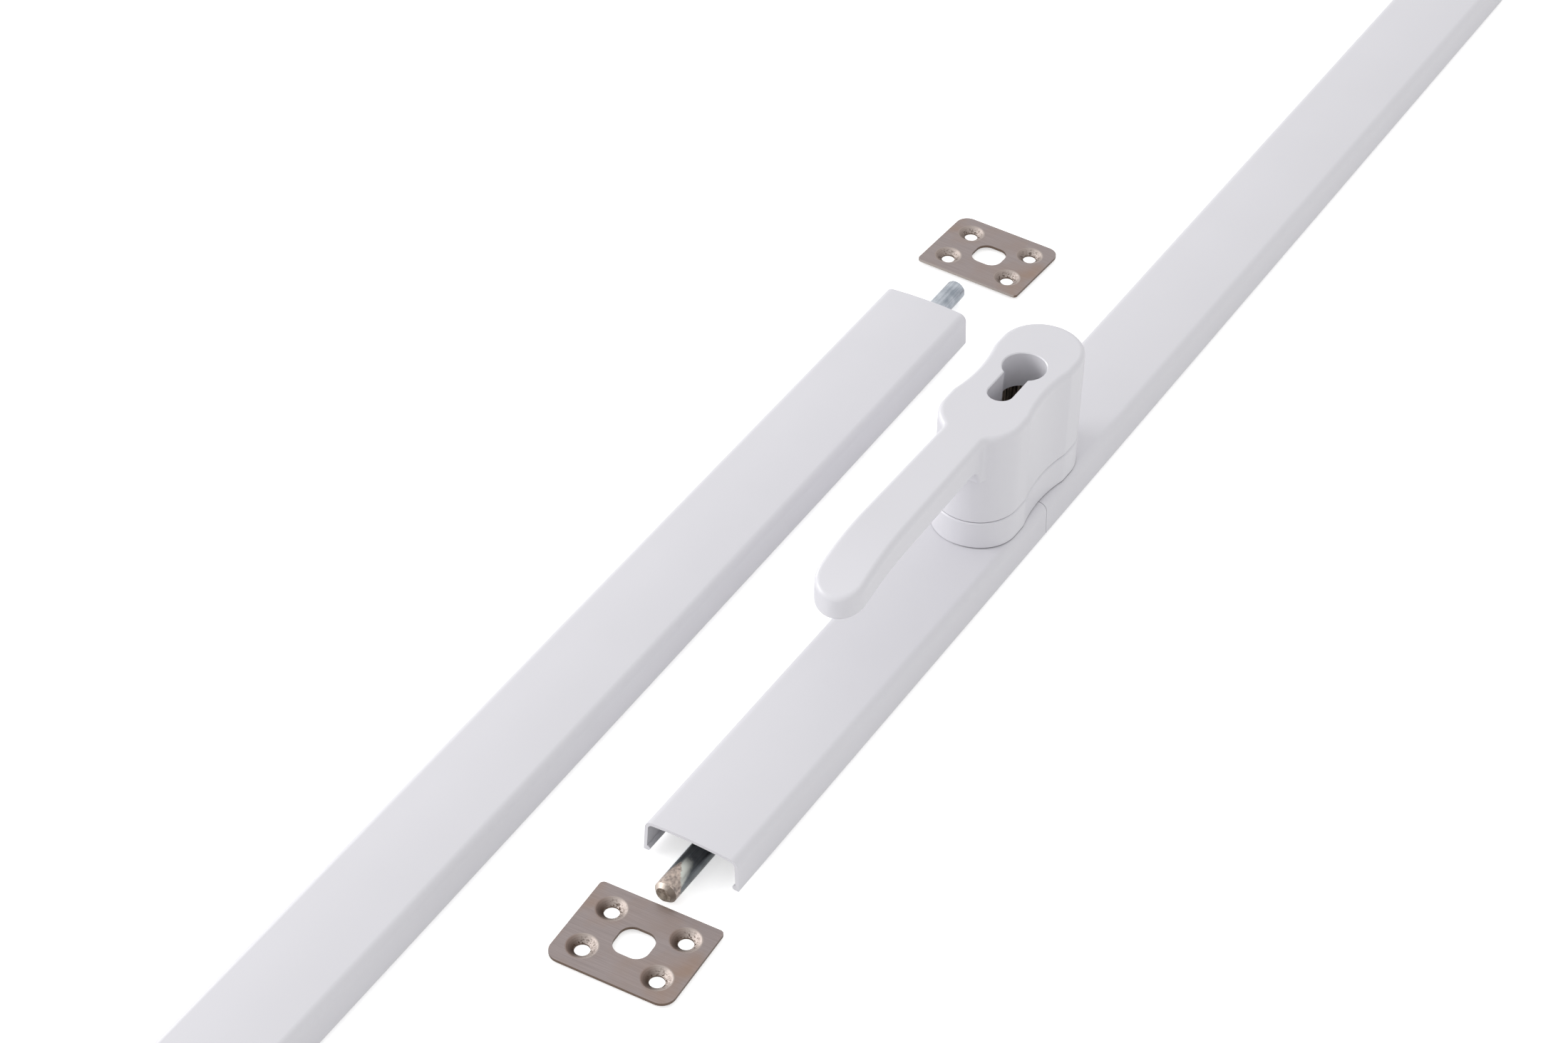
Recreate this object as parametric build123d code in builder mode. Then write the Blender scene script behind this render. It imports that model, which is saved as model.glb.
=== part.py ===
from build123d import *
import math
import os

# Cremone bolt with a lockable lever, laid out flat in two lengths with its strike plates.
# Millimetres. The drive length lies along Y: +Y runs towards the head of the door, +Z
# away from the door. Z = 0 is the mounting plane and the lever turns about the Z axis.

os.makedirs("parts", exist_ok=True)

# Clearances
run_fit = 0.05
slide_fit = 0.1
seat_gap = 0.2
seam_gap = 0.3
overrun = 30

# Rods
rod_radius = 4.5
rod_height = 5.2
rod_chamfer = 1.5
foot_projection = 18
head_projection = 29
joint_projection = 6
stud_radius = 3
stud_length = 22
stud_reach = 10
tip_chamfer = 0.5
tapped_radius = 2.5
tapped_depth = 14

# Cover extrusion
cover_width = 40
cover_rise = 15.1
cover_shoulder = 14.1
cover_lean = 0.65
cover_corner = 3.4
cover_wall = 1.3
cover_lift = 2.0
lip_radius = 1.05
lip_reach = 1.35
lower_cover_length = 231.1
upper_cover_length = 500
head_cover_length = 520
cover_notch_width = 28
cover_notch_reach = 36

# Where the second length and the loose plates lie
head_offset = -86.65
head_cover_end = 92.4
head_skew = 0.73
foot_plate_place = (2.5, -271.4)
foot_plate_turn = 182.85
head_plate_place = (-89.9, 153.7)
head_plate_turn = -1.76

# Rack and pinion
gear_module = 1.5
pinion_teeth = 16
pressure_angle = 20
addendum_share = 0.95
dedendum_share = 1.25
tooth_backlash = 0.12
rack_teeth = 8
gear_thickness = 5.6
rack_back = 2.3
arm_width = 6
arm_reach = 48
boss_length = 6
boss_width = 9
spigot_radius = 2.5
spigot_length = 12
cross_pin_radius = 1.25
hub_radius = 8
journal_radius = 7
square_side = 8
square_foot = 0.8
rack_lead_share = 2.5

# Base plate and gear housing
plate_thickness = 2.0
plate_width = 34
plate_length = 100
plate_corner = 3
fork_depth = 12
fork_width = 10.4
door_hole_side = 11
door_hole_inset = 6
door_hole_radius = 2.1
door_hole_head = 3.1
housing_length = 72
housing_clip_width = 36.2
housing_clip_height = 4.4
housing_roof = 3.1
housing_edge = 1
gear_play = 0.3
pillar_radius = 3.5
pillar_spacing = 43
pillar_thread_radius = 2.1
pillar_thread_depth = 7
post_radius = 2.8
post_place = (13, 33)
boss_radius = 3.6

# Plinth and handle column
column_radius = 17.4
column_span = 47.2
waist_width = 30.8
waist_radius = 70
waist_blend = 8
plinth_rise = 12.5
plinth_flare = 0.25
plinth_wall = 3
plinth_web = 8.5
plinth_edge = 0.5
head_rise = 41.6
head_edge = 2.3
belly_edge = 1.3
head_foot_edge = 0.3

# Lever
lever_root_radius = 8.9
lever_tip_radius = 10.2
lever_depth = 12.2
lever_reach = 139.4
lever_droop_start = 100
top_droop = 8.6
belly_droop = 7.3
lever_blend = 4
lever_throat = 8

# Euro-profile cylinder hole and lock
barrel_radius = 8.8
barrel_offset = 9.7
key_slot_width = 10.4
key_slot_reach = 19.4
hole_edge = 0.4
flange_inset = 2.6
flange_thickness = 4
cam_width = 24
cam_swing = 15.5
cam_height = 21.3
cam_corner = 6
lock_place = 28
lock_radius = 2.9
lock_head_radius = 4.3
lock_head_height = 2.5
lock_bevel = 1.2
lock_play = 0.3
spring_radius = 3.6
spring_wire = 0.35
spring_turns = 3.5
spring_length = 8.2

# Spindle, bush and rings
spindle_radius = 7
bush_wall = 1.8
bush_flange = 1.2
bush_flange_radius = 11
ring_wall = 2.2
ring_thickness = 1.0
groove_depth = 0.6
ring_opening = 5
washer_thickness = 0.8
washer_radius = 14.5

# Screws
screw_head_share = 1.9
driver_share = 0.95
driver_width_share = 0.35
driver_depth_share = 0.8
housing_screw_radius = 1.5
housing_screw_length = 8
handle_screw_radius = 1.75
handle_screw_length = 14
handle_screw_places = [(0, -28), (-8, 30.2), (8, 30.2)]
plinth_screw_radius = 1.75
plinth_screw_length = 19
plinth_screw_place = (8.5, 26)

# Rod guides
guide_length = 16
guide_foot_width = 34
guide_clip_width = 36.2
guide_clip_height = 4.4
guide_ear_top = 9.5
guide_ear_tip_width = 34.4
guide_ear_wall = 1.4
guide_valley_floor = 4.2
guide_boss_width = 14
guide_rise = 11.9
guide_boss_round = 3
guide_screw_spacing = 24
guide_screw_radius = 2.1
guide_screw_head = 4.0
foot_guide_place = -206
lower_guide_place = -115
upper_guide_place = 130
middle_guide_place = 310
head_guide_place = 67
head_middle_guide_place = -180
guide_joint_inset = 25

# Strike plates
strike_width = 50
strike_height = 40
strike_thickness = 1.2
strike_far_corner = 5.5
strike_near_corner = 1.8
strike_hole_spacing = (30, 20)
strike_hole_radius = 2.9
strike_rim_radius = 5.6
strike_dimple = 2.65
strike_land = 0.7
strike_rim_round = 0.6
strike_slot_width = 14
strike_slot_height = 13.4
strike_slot_corner = 5

# Derived heights and places
pitch_radius = gear_module * pinion_teeth / 2
tooth_pitch = math.pi * gear_module
rack_root = pitch_radius + gear_module * dedendum_share
rack_edge = rack_root + rack_back
gear_floor = rod_height - gear_thickness / 2
gear_top = rod_height + gear_thickness / 2
roof_floor = gear_top + gear_play
roof_top = roof_floor + housing_roof
cover_top = cover_lift + cover_rise
boss_top = cover_top - cover_wall - seat_gap
plinth_top = cover_top + plinth_rise - seam_gap / 2
web_floor = plinth_top - plinth_web
washer_floor = plinth_top - washer_thickness + seam_gap - 2 * run_fit
bush_seat = washer_floor - run_fit
head_floor = plinth_top + seam_gap
head_top = head_floor + head_rise
lever_belly = head_top - lever_depth
throat_start = column_span / 2 + column_radius + lever_throat
flange_top = head_floor + flange_thickness
bush_radius = spindle_radius + run_fit + bush_wall
spindle_shoulder = roof_top + gear_play
spring_floor = flange_top + seat_gap
lock_shoulder = spring_floor + spring_length + seat_gap
lock_top = lock_shoulder + lock_head_height
arm_end = arm_reach + arm_width
rod_start = arm_end + boss_length + seat_gap
cross_pin_place = arm_end + boss_length + spigot_length / 2
foot_rod_tip = lower_cover_length + foot_projection
upper_rod_tip = upper_cover_length + joint_projection
head_rod_tip = head_cover_end + head_projection
head_rod_foot = head_cover_end - head_cover_length + joint_projection
key_slot_end = barrel_offset - key_slot_reach
joint_guide_place = upper_cover_length - guide_joint_inset
head_joint_guide_place = head_cover_end - head_cover_length + guide_joint_inset
lock_tip = head_floor + lock_play
ring_top = web_floor - 2 * run_fit
strike_floor = strike_dimple - strike_thickness
rack_end = 2 * tooth_pitch

drive = Plane.XY
skew = math.radians(head_skew)
opposite = Plane(origin=(0, 0, 0), x_dir=(-1, 0, 0), z_dir=(0, 0, 1))
head = Plane(origin=(head_offset, 0, 0), x_dir=(math.cos(skew), math.sin(skew), 0), z_dir=(0, 0, 1))


def level(frame, height):
    """Horizontal plane of a length, at a height above the door."""
    return frame.offset(height)


def across(frame, along):
    """Plane square to a length, facing the foot, with its X across and its Y upwards."""
    origin = frame.from_local_coords((0, along, 0))
    return Plane(origin=origin, x_dir=frame.x_dir, z_dir=-frame.y_dir)


def plate_frame(place, turn):
    """Frame of a loose plate that lies turned by some degrees."""
    angle = math.radians(turn)
    return Plane(origin=(*place, 0), x_dir=(math.cos(angle), math.sin(angle), 0), z_dir=(0, 0, 1))


def finish(piece, name):
    """Label one piece and write it."""
    piece.label = name
    export_step(piece, f"parts/{name}.step")


def opposite_places(place):
    """A place and the same place half a turn round the axis."""
    return [place, (-place[0], -place[1])]


def four_places(place):
    """A place in each quarter round the axis."""
    return [(side * place[0], end * place[1]) for side in (-1, 1) for end in (-1, 1)]


# Cover extrusions


def cover_shape(inset, depth):
    """Filled section of the cover moved in by inset, running depth below its lower edge."""
    half = cover_width / 2 - inset
    shoulder = cover_shoulder - inset
    lean = half - cover_lean
    with BuildSketch() as shape:
        with BuildLine():
            Line((-half, -depth), (-half, 0))
            Line((-half, 0), (-lean, shoulder))
            ThreePointArc((-lean, shoulder), (0, cover_rise - inset), (lean, shoulder))
            Line((lean, shoulder), (half, 0))
            Line((half, 0), (half, -depth))
            Line((half, -depth), (-half, -depth))
        make_face()
        fillet(shape.vertices().group_by(Axis.Y)[-1], cover_corner - inset)
    return shape.sketch


def cover_section():
    """Hollow section of the cover, with a bead inside each lower edge that clips on guides."""
    bead_place = cover_width / 2 - cover_wall - lip_reach + lip_radius
    with BuildSketch() as section:
        add(cover_shape(0, cover_wall))
        add(cover_shape(cover_wall, 2 * cover_wall), mode=Mode.SUBTRACT)
        with Locations((0, -cover_wall)):
            Rectangle(2 * cover_width, 2 * cover_wall, mode=Mode.SUBTRACT)
        with Locations((-bead_place, lip_radius), (bead_place, lip_radius)):
            Circle(lip_radius)
    return section.sketch


def cover_run(frame, top_end, length):
    """A length of cover that runs towards the foot from top_end."""
    with BuildPart() as cover:
        with BuildSketch(across(frame, top_end)):
            with Locations((0, cover_lift)):
                add(cover_section())
        extrude(amount=length)
    return cover.part


with BuildSketch(level(drive, cover_lift + cover_shoulder / 2)) as cover_notch:
    SlotOverall(2 * cover_notch_reach, cover_notch_width, rotation=90)

with BuildPart() as lower_cover:
    add(cover_run(drive, -seam_gap / 2, lower_cover_length - seam_gap / 2))
    extrude(cover_notch.sketch, amount=cover_rise, mode=Mode.SUBTRACT)
finish(lower_cover.part, "lower_cover")

with BuildPart() as upper_cover:
    add(cover_run(drive, upper_cover_length, upper_cover_length - seam_gap / 2))
    extrude(cover_notch.sketch, amount=cover_rise, mode=Mode.SUBTRACT)
finish(upper_cover.part, "upper_cover")

finish(cover_run(head, head_cover_end, head_cover_length), "head_cover")

# Plinth


def column_outline(inset):
    """Eight-shaped outline of the plinth and of the lever's head, moved in by inset."""
    waist_centre = waist_width / 2 + waist_radius
    with BuildSketch() as outline:
        SlotCenterToCenter(column_span, 2 * column_radius, rotation=90)
        with Locations((-waist_centre, 0), (waist_centre, 0)):
            Circle(waist_radius, mode=Mode.SUBTRACT)
        fillet(outline.vertices(), waist_blend)
        if inset:
            offset(amount=-inset, mode=Mode.REPLACE)
    return outline.sketch


with BuildPart() as plinth:
    with BuildSketch(level(drive, cover_lift + cover_shoulder - cover_corner)):
        add(column_outline(-plinth_flare))
    extrude(amount=plinth_top - cover_lift - cover_shoulder + cover_corner)
    chamfer(plinth.edges().group_by(Axis.Z)[-1], plinth_edge)
    with BuildSketch():
        add(column_outline(plinth_wall))
    extrude(amount=web_floor, mode=Mode.SUBTRACT)
    with BuildSketch(across(drive, column_span)):
        with Locations((0, cover_lift)):
            add(cover_shape(-seat_gap, cover_lift))
    extrude(amount=2 * column_span, mode=Mode.SUBTRACT)
    with BuildSketch(level(drive, boss_top + seat_gap)):
        with Locations(four_places(plinth_screw_place)):
            Circle(boss_radius)
    extrude(amount=web_floor - boss_top - seat_gap)
    with Locations(level(drive, plinth_top)):
        with Locations(four_places(plinth_screw_place)):
            CounterSinkHole(
                plinth_screw_radius + slide_fit, plinth_screw_radius * screw_head_share + slide_fit
            )
        with Locations((0, lock_place)):
            Hole(lock_radius + seat_gap, plinth_web)
    with BuildSketch(level(drive, bush_seat)):
        Circle(washer_radius + seat_gap)
    extrude(amount=plinth_top, mode=Mode.SUBTRACT)
    with BuildSketch(level(drive, bush_seat)):
        Circle(bush_flange_radius + run_fit)
    extrude(amount=-bush_flange - run_fit, mode=Mode.SUBTRACT)
    with BuildSketch(level(drive, bush_seat)):
        Circle(bush_radius + run_fit)
    extrude(amount=-plinth_web, mode=Mode.SUBTRACT)
finish(plinth.part, "plinth")

# Handle


def key_profile(grow):
    """Euro-profile outline, round end towards the head, moved out by grow."""
    with BuildSketch() as profile:
        with Locations((0, barrel_offset)):
            Circle(barrel_radius + grow)
        with Locations((0, barrel_offset - key_slot_reach / 2)):
            Rectangle(key_slot_width + 2 * grow, key_slot_reach)
        with Locations((0, barrel_offset - key_slot_reach)):
            Circle(key_slot_width / 2 + grow)
    return profile.sketch


def droop_arc(start_height, drop):
    """Lever surface that leaves the straight part level and ends drop lower at the tip."""
    run = lever_reach - lever_droop_start
    radius = (run**2 + drop**2) / (2 * drop)
    turn = math.degrees(math.asin(run / radius))
    return JernArc((-lever_droop_start, start_height), (-1, 0), radius, turn)


with BuildSketch(Plane.YZ) as lever_side:
    with BuildLine():
        Line((0, head_top), (-lever_droop_start, head_top))
        top_line = droop_arc(head_top, top_droop)
        belly_line = droop_arc(lever_belly, belly_droop)
        Line(top_line @ 1, belly_line @ 1)
        Line((-lever_droop_start, lever_belly), (-throat_start, lever_belly))
        throat = JernArc((-throat_start, lever_belly), (1, 0), lever_throat, -90)
        Line(throat @ 1, (0, lever_belly - lever_throat))
        Line((0, lever_belly - lever_throat), (0, head_top))
    make_face()

with BuildPart() as handle:
    extrude(lever_side.sketch, amount=lever_tip_radius, both=True)
    with BuildSketch(level(drive, head_floor)):
        with Locations((0, -column_radius)):
            Circle(lever_root_radius)
        with Locations((0, lever_tip_radius - lever_reach)):
            Circle(lever_tip_radius)
        make_hull()
    extrude(amount=head_rise, mode=Mode.INTERSECT)
    with BuildSketch(level(drive, head_floor)):
        add(column_outline(0))
    extrude(amount=head_rise)
    inner_corners = handle.edges().filter_by(Axis.Z).filter_by_position(
        Axis.Y, -column_span / 2 - column_radius, -column_span / 2
    )
    inner_corners = inner_corners.filter_by_position(Axis.X, -column_radius, column_radius)
    fillet(inner_corners, lever_blend)
    upper_faces = handle.faces().sort_by(Axis.Z)[-2:]
    fillet(upper_faces.edges().filter_by(Axis.X, reverse=True), head_edge)
    underside = handle.edges().filter_by_position(Axis.Y, -lever_reach - overrun, -throat_start)
    underside = underside.filter_by_position(Axis.Z, 0, lever_belly + run_fit)
    fillet(underside.filter_by(Axis.X, reverse=True), belly_edge)
    chamfer(handle.edges().group_by(Axis.Z)[0], head_foot_edge)
    with BuildSketch(level(drive, head_floor)):
        add(column_outline(flange_inset))
    extrude(amount=flange_thickness + seat_gap, mode=Mode.SUBTRACT)
    with BuildSketch(level(drive, flange_top)):
        with Locations((0, barrel_offset)):
            RectangleRounded(cam_width, 2 * cam_swing, cam_corner)
    extrude(amount=cam_height, mode=Mode.SUBTRACT)
    with BuildSketch(level(drive, flange_top)):
        with Locations((0, lock_place)):
            Circle(lock_head_radius + slide_fit)
    extrude(amount=lock_top + seat_gap - flange_top, mode=Mode.SUBTRACT)
    with BuildSketch(level(drive, flange_top)):
        add(key_profile(0))
    extrude(amount=head_rise, mode=Mode.SUBTRACT)
    mouth = handle.edges().group_by(Axis.Z)[-1]
    mouth = mouth.filter_by_position(
        Axis.Y, key_slot_end - key_slot_width, barrel_offset + barrel_radius
    )
    chamfer(mouth.filter_by_position(Axis.X, -barrel_radius, barrel_radius), hole_edge)
    with BuildSketch(level(drive, flange_top)):
        with Locations(handle_screw_places):
            Circle(handle_screw_radius + slide_fit)
    extrude(amount=handle_screw_length - flange_thickness + seat_gap, mode=Mode.SUBTRACT)
finish(handle.part, "handle")

# Screws


def screw(radius, length):
    """Countersunk screw that points down from the flat of its head, with a cross recess."""
    head_radius = radius * screw_head_share
    with BuildPart() as body:
        Cylinder(radius, length, align=(Align.CENTER, Align.CENTER, Align.MAX))
        chamfer(body.edges().group_by(Axis.Z)[0], tip_chamfer)
        Cone(
            radius,
            head_radius,
            head_radius - radius,
            align=(Align.CENTER, Align.CENTER, Align.MAX),
        )
        with BuildSketch():
            Rectangle(2 * radius * driver_share, radius * driver_width_share)
            Rectangle(radius * driver_width_share, 2 * radius * driver_share)
        extrude(amount=-radius * driver_depth_share, mode=Mode.SUBTRACT)
    return body.part


def upwards(places, height):
    """Locations at a height for pieces that point up, away from the door."""
    return [Location((x, y, height), (180, 0, 0)) for x, y in places]


with BuildPart() as handle_screws:
    with Locations(*upwards(handle_screw_places, head_floor)):
        add(screw(handle_screw_radius, handle_screw_length))
finish(handle_screws.part, "handle_screws")

with BuildPart() as plinth_screws:
    with Locations(level(drive, plinth_top)):
        with Locations(four_places(plinth_screw_place)):
            add(screw(plinth_screw_radius, plinth_screw_length))
finish(plinth_screws.part, "plinth_screws")

with BuildPart() as housing_screws:
    with Locations(*upwards(opposite_places(post_place), 0)):
        add(screw(housing_screw_radius, housing_screw_length))
finish(housing_screws.part, "housing_screws")

# Spindle, its bush, washer and ring


def screw_sinks(places, radius, height, depth):
    """Countersunk holes that open at a height, facing the door, ready to be cut out."""
    head_radius = radius * screw_head_share + slide_fit
    hole_radius = radius + slide_fit
    with BuildPart() as sinks:
        with Locations([(x, y, height) for x, y in places]):
            Cylinder(hole_radius, depth, align=(Align.CENTER, Align.CENTER, Align.MIN))
            Cone(
                head_radius,
                hole_radius,
                head_radius - hole_radius,
                align=(Align.CENTER, Align.CENTER, Align.MIN),
            )
    return sinks.part


with BuildPart() as drive_spindle:
    with BuildSketch(level(drive, head_floor)):
        add(column_outline(flange_inset + seat_gap))
    extrude(amount=flange_thickness)
    with BuildSketch(level(drive, spindle_shoulder)):
        Circle(spindle_radius)
    extrude(amount=flange_top - spindle_shoulder)
    with BuildSketch(level(drive, ring_top)):
        Circle(spindle_radius)
        Circle(spindle_radius - groove_depth, mode=Mode.SUBTRACT)
    extrude(amount=-ring_thickness, mode=Mode.SUBTRACT)
    with BuildSketch(level(drive, square_foot)):
        Rectangle(square_side, square_side)
    extrude(amount=spindle_shoulder - square_foot)
    chamfer(drive_spindle.edges().group_by(Axis.Z)[0], tip_chamfer)
    with BuildSketch(level(drive, head_floor)):
        with Locations((0, lock_place)):
            Circle(lock_radius + slide_fit)
    extrude(amount=flange_thickness, mode=Mode.SUBTRACT)
    add(
        screw_sinks(handle_screw_places, handle_screw_radius, head_floor, flange_thickness),
        mode=Mode.SUBTRACT,
    )
finish(drive_spindle.part, "drive_spindle")

with BuildPart() as spindle_bush:
    with BuildSketch(level(drive, bush_seat)):
        Circle(bush_radius)
    extrude(amount=web_floor - bush_seat)
    with BuildSketch(level(drive, bush_seat)):
        Circle(bush_flange_radius)
    extrude(amount=-bush_flange)
    with Locations(level(drive, bush_seat)):
        Hole(spindle_radius + run_fit, plinth_web)
finish(spindle_bush.part, "spindle_bush")

with BuildPart() as friction_washer:
    with BuildSketch(level(drive, washer_floor)):
        Circle(washer_radius)
        Circle(spindle_radius + slide_fit, mode=Mode.SUBTRACT)
    extrude(amount=washer_thickness)
finish(friction_washer.part, "friction_washer")

with BuildPart() as retaining_ring:
    with BuildSketch(level(drive, ring_top)):
        Circle(spindle_radius - groove_depth + ring_wall)
        Circle(spindle_radius - groove_depth + run_fit, mode=Mode.SUBTRACT)
        with Locations((spindle_radius, 0)):
            Rectangle(2 * ring_wall, ring_opening, mode=Mode.SUBTRACT)
    extrude(amount=-ring_thickness)
finish(retaining_ring.part, "retaining_ring")

# Base plate and gear housing

with BuildPart() as base_plate:
    with BuildSketch():
        RectangleRounded(plate_width, plate_length, plate_corner)
        with Locations((0, -plate_length / 2), (0, plate_length / 2)):
            SlotOverall(2 * fork_depth, fork_width, rotation=90, mode=Mode.SUBTRACT)
        with Locations((0, -pillar_spacing / 2), (0, pillar_spacing / 2)):
            Circle(pillar_radius + slide_fit, mode=Mode.SUBTRACT)
        Circle(journal_radius + run_fit, mode=Mode.SUBTRACT)
    extrude(amount=plate_thickness)
    with Locations(level(drive, plate_thickness)):
        with Locations(four_places((door_hole_side, plate_length / 2 - door_hole_inset))):
            CounterSinkHole(door_hole_radius, door_hole_head)
    add(
        screw_sinks(opposite_places(post_place), housing_screw_radius, 0, plate_thickness),
        mode=Mode.SUBTRACT,
    )
finish(base_plate.part, "base_plate")

with BuildPart() as gear_housing:
    with BuildSketch(level(drive, plate_thickness)):
        Rectangle(plate_width, housing_length)
    extrude(amount=housing_clip_height - plate_thickness)
    with BuildSketch(level(drive, housing_clip_height)):
        Rectangle(housing_clip_width, housing_length)
    extrude(amount=roof_top - housing_clip_height)
    chamfer(gear_housing.edges().group_by(Axis.Z)[-1], housing_edge)
    with BuildSketch(level(drive, plate_thickness)):
        Rectangle(2 * (rack_edge + slide_fit), 2 * housing_length)
    extrude(amount=roof_floor - plate_thickness, mode=Mode.SUBTRACT)
    with BuildSketch():
        with Locations((0, -pillar_spacing / 2), (0, pillar_spacing / 2)):
            Circle(pillar_radius)
    extrude(amount=roof_floor)
    with BuildSketch(level(drive, plate_thickness)):
        with Locations(opposite_places(post_place)):
            Circle(post_radius)
    extrude(amount=roof_floor - plate_thickness)
    with BuildSketch(level(drive, roof_floor)):
        with Locations(four_places(plinth_screw_place)):
            Circle(boss_radius)
    extrude(amount=boss_top - roof_floor)
    with BuildSketch(level(drive, roof_floor)):
        Circle(hub_radius + run_fit)
    extrude(amount=housing_roof, mode=Mode.SUBTRACT)
    with BuildSketch(level(drive, roof_floor)):
        with Locations(four_places(plinth_screw_place)):
            Circle(plinth_screw_radius + run_fit)
    extrude(amount=boss_top - roof_floor, mode=Mode.SUBTRACT)
    with BuildSketch():
        with Locations((0, -pillar_spacing / 2), (0, pillar_spacing / 2)):
            Circle(pillar_thread_radius)
    extrude(amount=pillar_thread_depth, mode=Mode.SUBTRACT)
    with BuildSketch():
        with Locations(opposite_places(post_place)):
            Circle(housing_screw_radius + run_fit)
    extrude(amount=housing_screw_length + seat_gap, mode=Mode.SUBTRACT)
finish(gear_housing.part, "gear_housing")

# Pinion and racks


def involute(angle):
    """Involute function of an angle in radians."""
    return math.tan(angle) - angle


def tooth_point(radius, side):
    """Point on one flank of the pinion tooth that lies on the X axis."""
    flank = math.radians(pressure_angle)
    base_radius = pitch_radius * math.cos(flank)
    contact = math.acos(base_radius / max(radius, base_radius))
    half = math.pi / (2 * pinion_teeth) - tooth_backlash / (2 * pitch_radius)
    half += involute(flank) - involute(contact)
    return (radius * math.cos(half), side * radius * math.sin(half))


def pinion_tooth():
    """Outline of one pinion tooth, from the root to the tip."""
    root = pitch_radius - gear_module * dedendum_share
    base = pitch_radius * math.cos(math.radians(pressure_angle))
    tip = pitch_radius + gear_module * addendum_share
    middle = (base + tip) / 2
    with BuildSketch() as tooth:
        with BuildLine():
            Line(tooth_point(root, -1), tooth_point(base, -1))
            ThreePointArc(tooth_point(base, -1), tooth_point(middle, -1), tooth_point(tip, -1))
            ThreePointArc(tooth_point(tip, -1), (tip, 0), tooth_point(tip, 1))
            ThreePointArc(tooth_point(tip, 1), tooth_point(middle, 1), tooth_point(base, 1))
            Line(tooth_point(base, 1), tooth_point(root, 1))
            Line(tooth_point(root, 1), tooth_point(root, -1))
        make_face()
    return tooth.sketch


with BuildPart() as pinion:
    with BuildSketch(level(drive, gear_floor)):
        Circle(pitch_radius - gear_module * dedendum_share)
        with PolarLocations(0, pinion_teeth):
            add(pinion_tooth())
    extrude(amount=gear_thickness)
    with BuildSketch():
        Circle(journal_radius)
    extrude(amount=gear_floor)
    with BuildSketch(level(drive, gear_top)):
        Circle(hub_radius)
    extrude(amount=roof_top - gear_top)
    with BuildSketch():
        Rectangle(square_side + 2 * run_fit, square_side + 2 * run_fit)
    extrude(amount=roof_top, mode=Mode.SUBTRACT)
finish(pinion.part, "pinion")


def rack_tooth():
    """Outline of one rack tooth that points at the pinion from the +X side."""
    slope = math.tan(math.radians(pressure_angle))
    tip = pitch_radius - gear_module * addendum_share
    half_tip = tooth_pitch / 4 - (pitch_radius - tip) * slope
    half_root = tooth_pitch / 4 + (rack_root - pitch_radius) * slope
    with BuildSketch() as tooth:
        with BuildLine():
            Polyline(
                (rack_edge, -half_root),
                (rack_root, -half_root),
                (tip, -half_tip),
                (tip, half_tip),
                (rack_root, half_root),
                (rack_edge, half_root),
                close=True,
            )
        make_face()
    return tooth.sketch


def rack_piece(frame):
    """Rack with its arm, boss and spigot, drawn for the foot side and placed by the frame."""
    with BuildPart() as rack:
        with BuildSketch(level(frame, gear_floor)):
            with Locations(((rack_root + rack_edge) / 2, (rack_end - arm_end) / 2)):
                Rectangle(rack_edge - rack_root, rack_end + arm_end)
            with Locations(((rack_edge - boss_width / 2) / 2, -arm_reach - arm_width / 2)):
                Rectangle(rack_edge + boss_width / 2, arm_width)
            with Locations((0, -arm_reach - (arm_width + boss_length) / 2)):
                Rectangle(boss_width, arm_width + boss_length)
            first = rack_lead_share - rack_teeth
            with Locations([(0, (first + count) * tooth_pitch) for count in range(rack_teeth)]):
                add(rack_tooth())
        extrude(amount=gear_thickness)
        with BuildSketch(across(frame, -arm_end - boss_length)):
            with Locations((0, rod_height)):
                Circle(spigot_radius)
        extrude(amount=spigot_length)
        with BuildSketch(level(frame, gear_floor)):
            with Locations((0, -cross_pin_place)):
                Circle(cross_pin_radius + run_fit)
        extrude(amount=gear_thickness, mode=Mode.SUBTRACT)
    return rack.part


finish(rack_piece(drive), "lower_rack")
finish(rack_piece(opposite), "upper_rack")

# Rods


def rod_piece(frame, start, length, tip_edge):
    """Plain rod of a length that runs towards the foot from start, chamfered at its ends."""
    with BuildPart() as rod:
        with BuildSketch(across(frame, start)):
            with Locations((0, rod_height)):
                Circle(rod_radius)
        extrude(amount=length)
        ends = rod.edges().filter_by(GeomType.CIRCLE)
        near = ends.sort_by_distance(frame.from_local_coords((0, start, rod_height)))
        chamfer(near[0], tip_edge[0])
        far = rod.edges().filter_by(GeomType.CIRCLE)
        far = far.sort_by_distance(frame.from_local_coords((0, start - length, rod_height)))
        chamfer(far[0], tip_edge[1])
    return rod.part


def end_hole(frame, start, radius, depth):
    """Round hole along a rod, running towards the foot from start, ready to be cut out."""
    with BuildPart() as hole:
        with BuildSketch(across(frame, start)):
            with Locations((0, rod_height)):
                Circle(radius)
        extrude(amount=depth)
    return hole.part


def pin_hole(frame):
    """Cross hole through a rod and its rack, ready to be cut out."""
    with BuildPart() as hole:
        with BuildSketch(level(frame, 0)):
            with Locations((0, -cross_pin_place)):
                Circle(cross_pin_radius + run_fit)
        extrude(amount=2 * rod_height)
    return hole.part


def cross_pin(frame):
    """Pin that locks a rack's spigot in its rod."""
    with BuildPart() as pin:
        with BuildSketch(level(frame, rod_height)):
            with Locations((0, -cross_pin_place)):
                Circle(cross_pin_radius)
        extrude(amount=rod_radius - 2 * seat_gap, both=True)
    return pin.part


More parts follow.
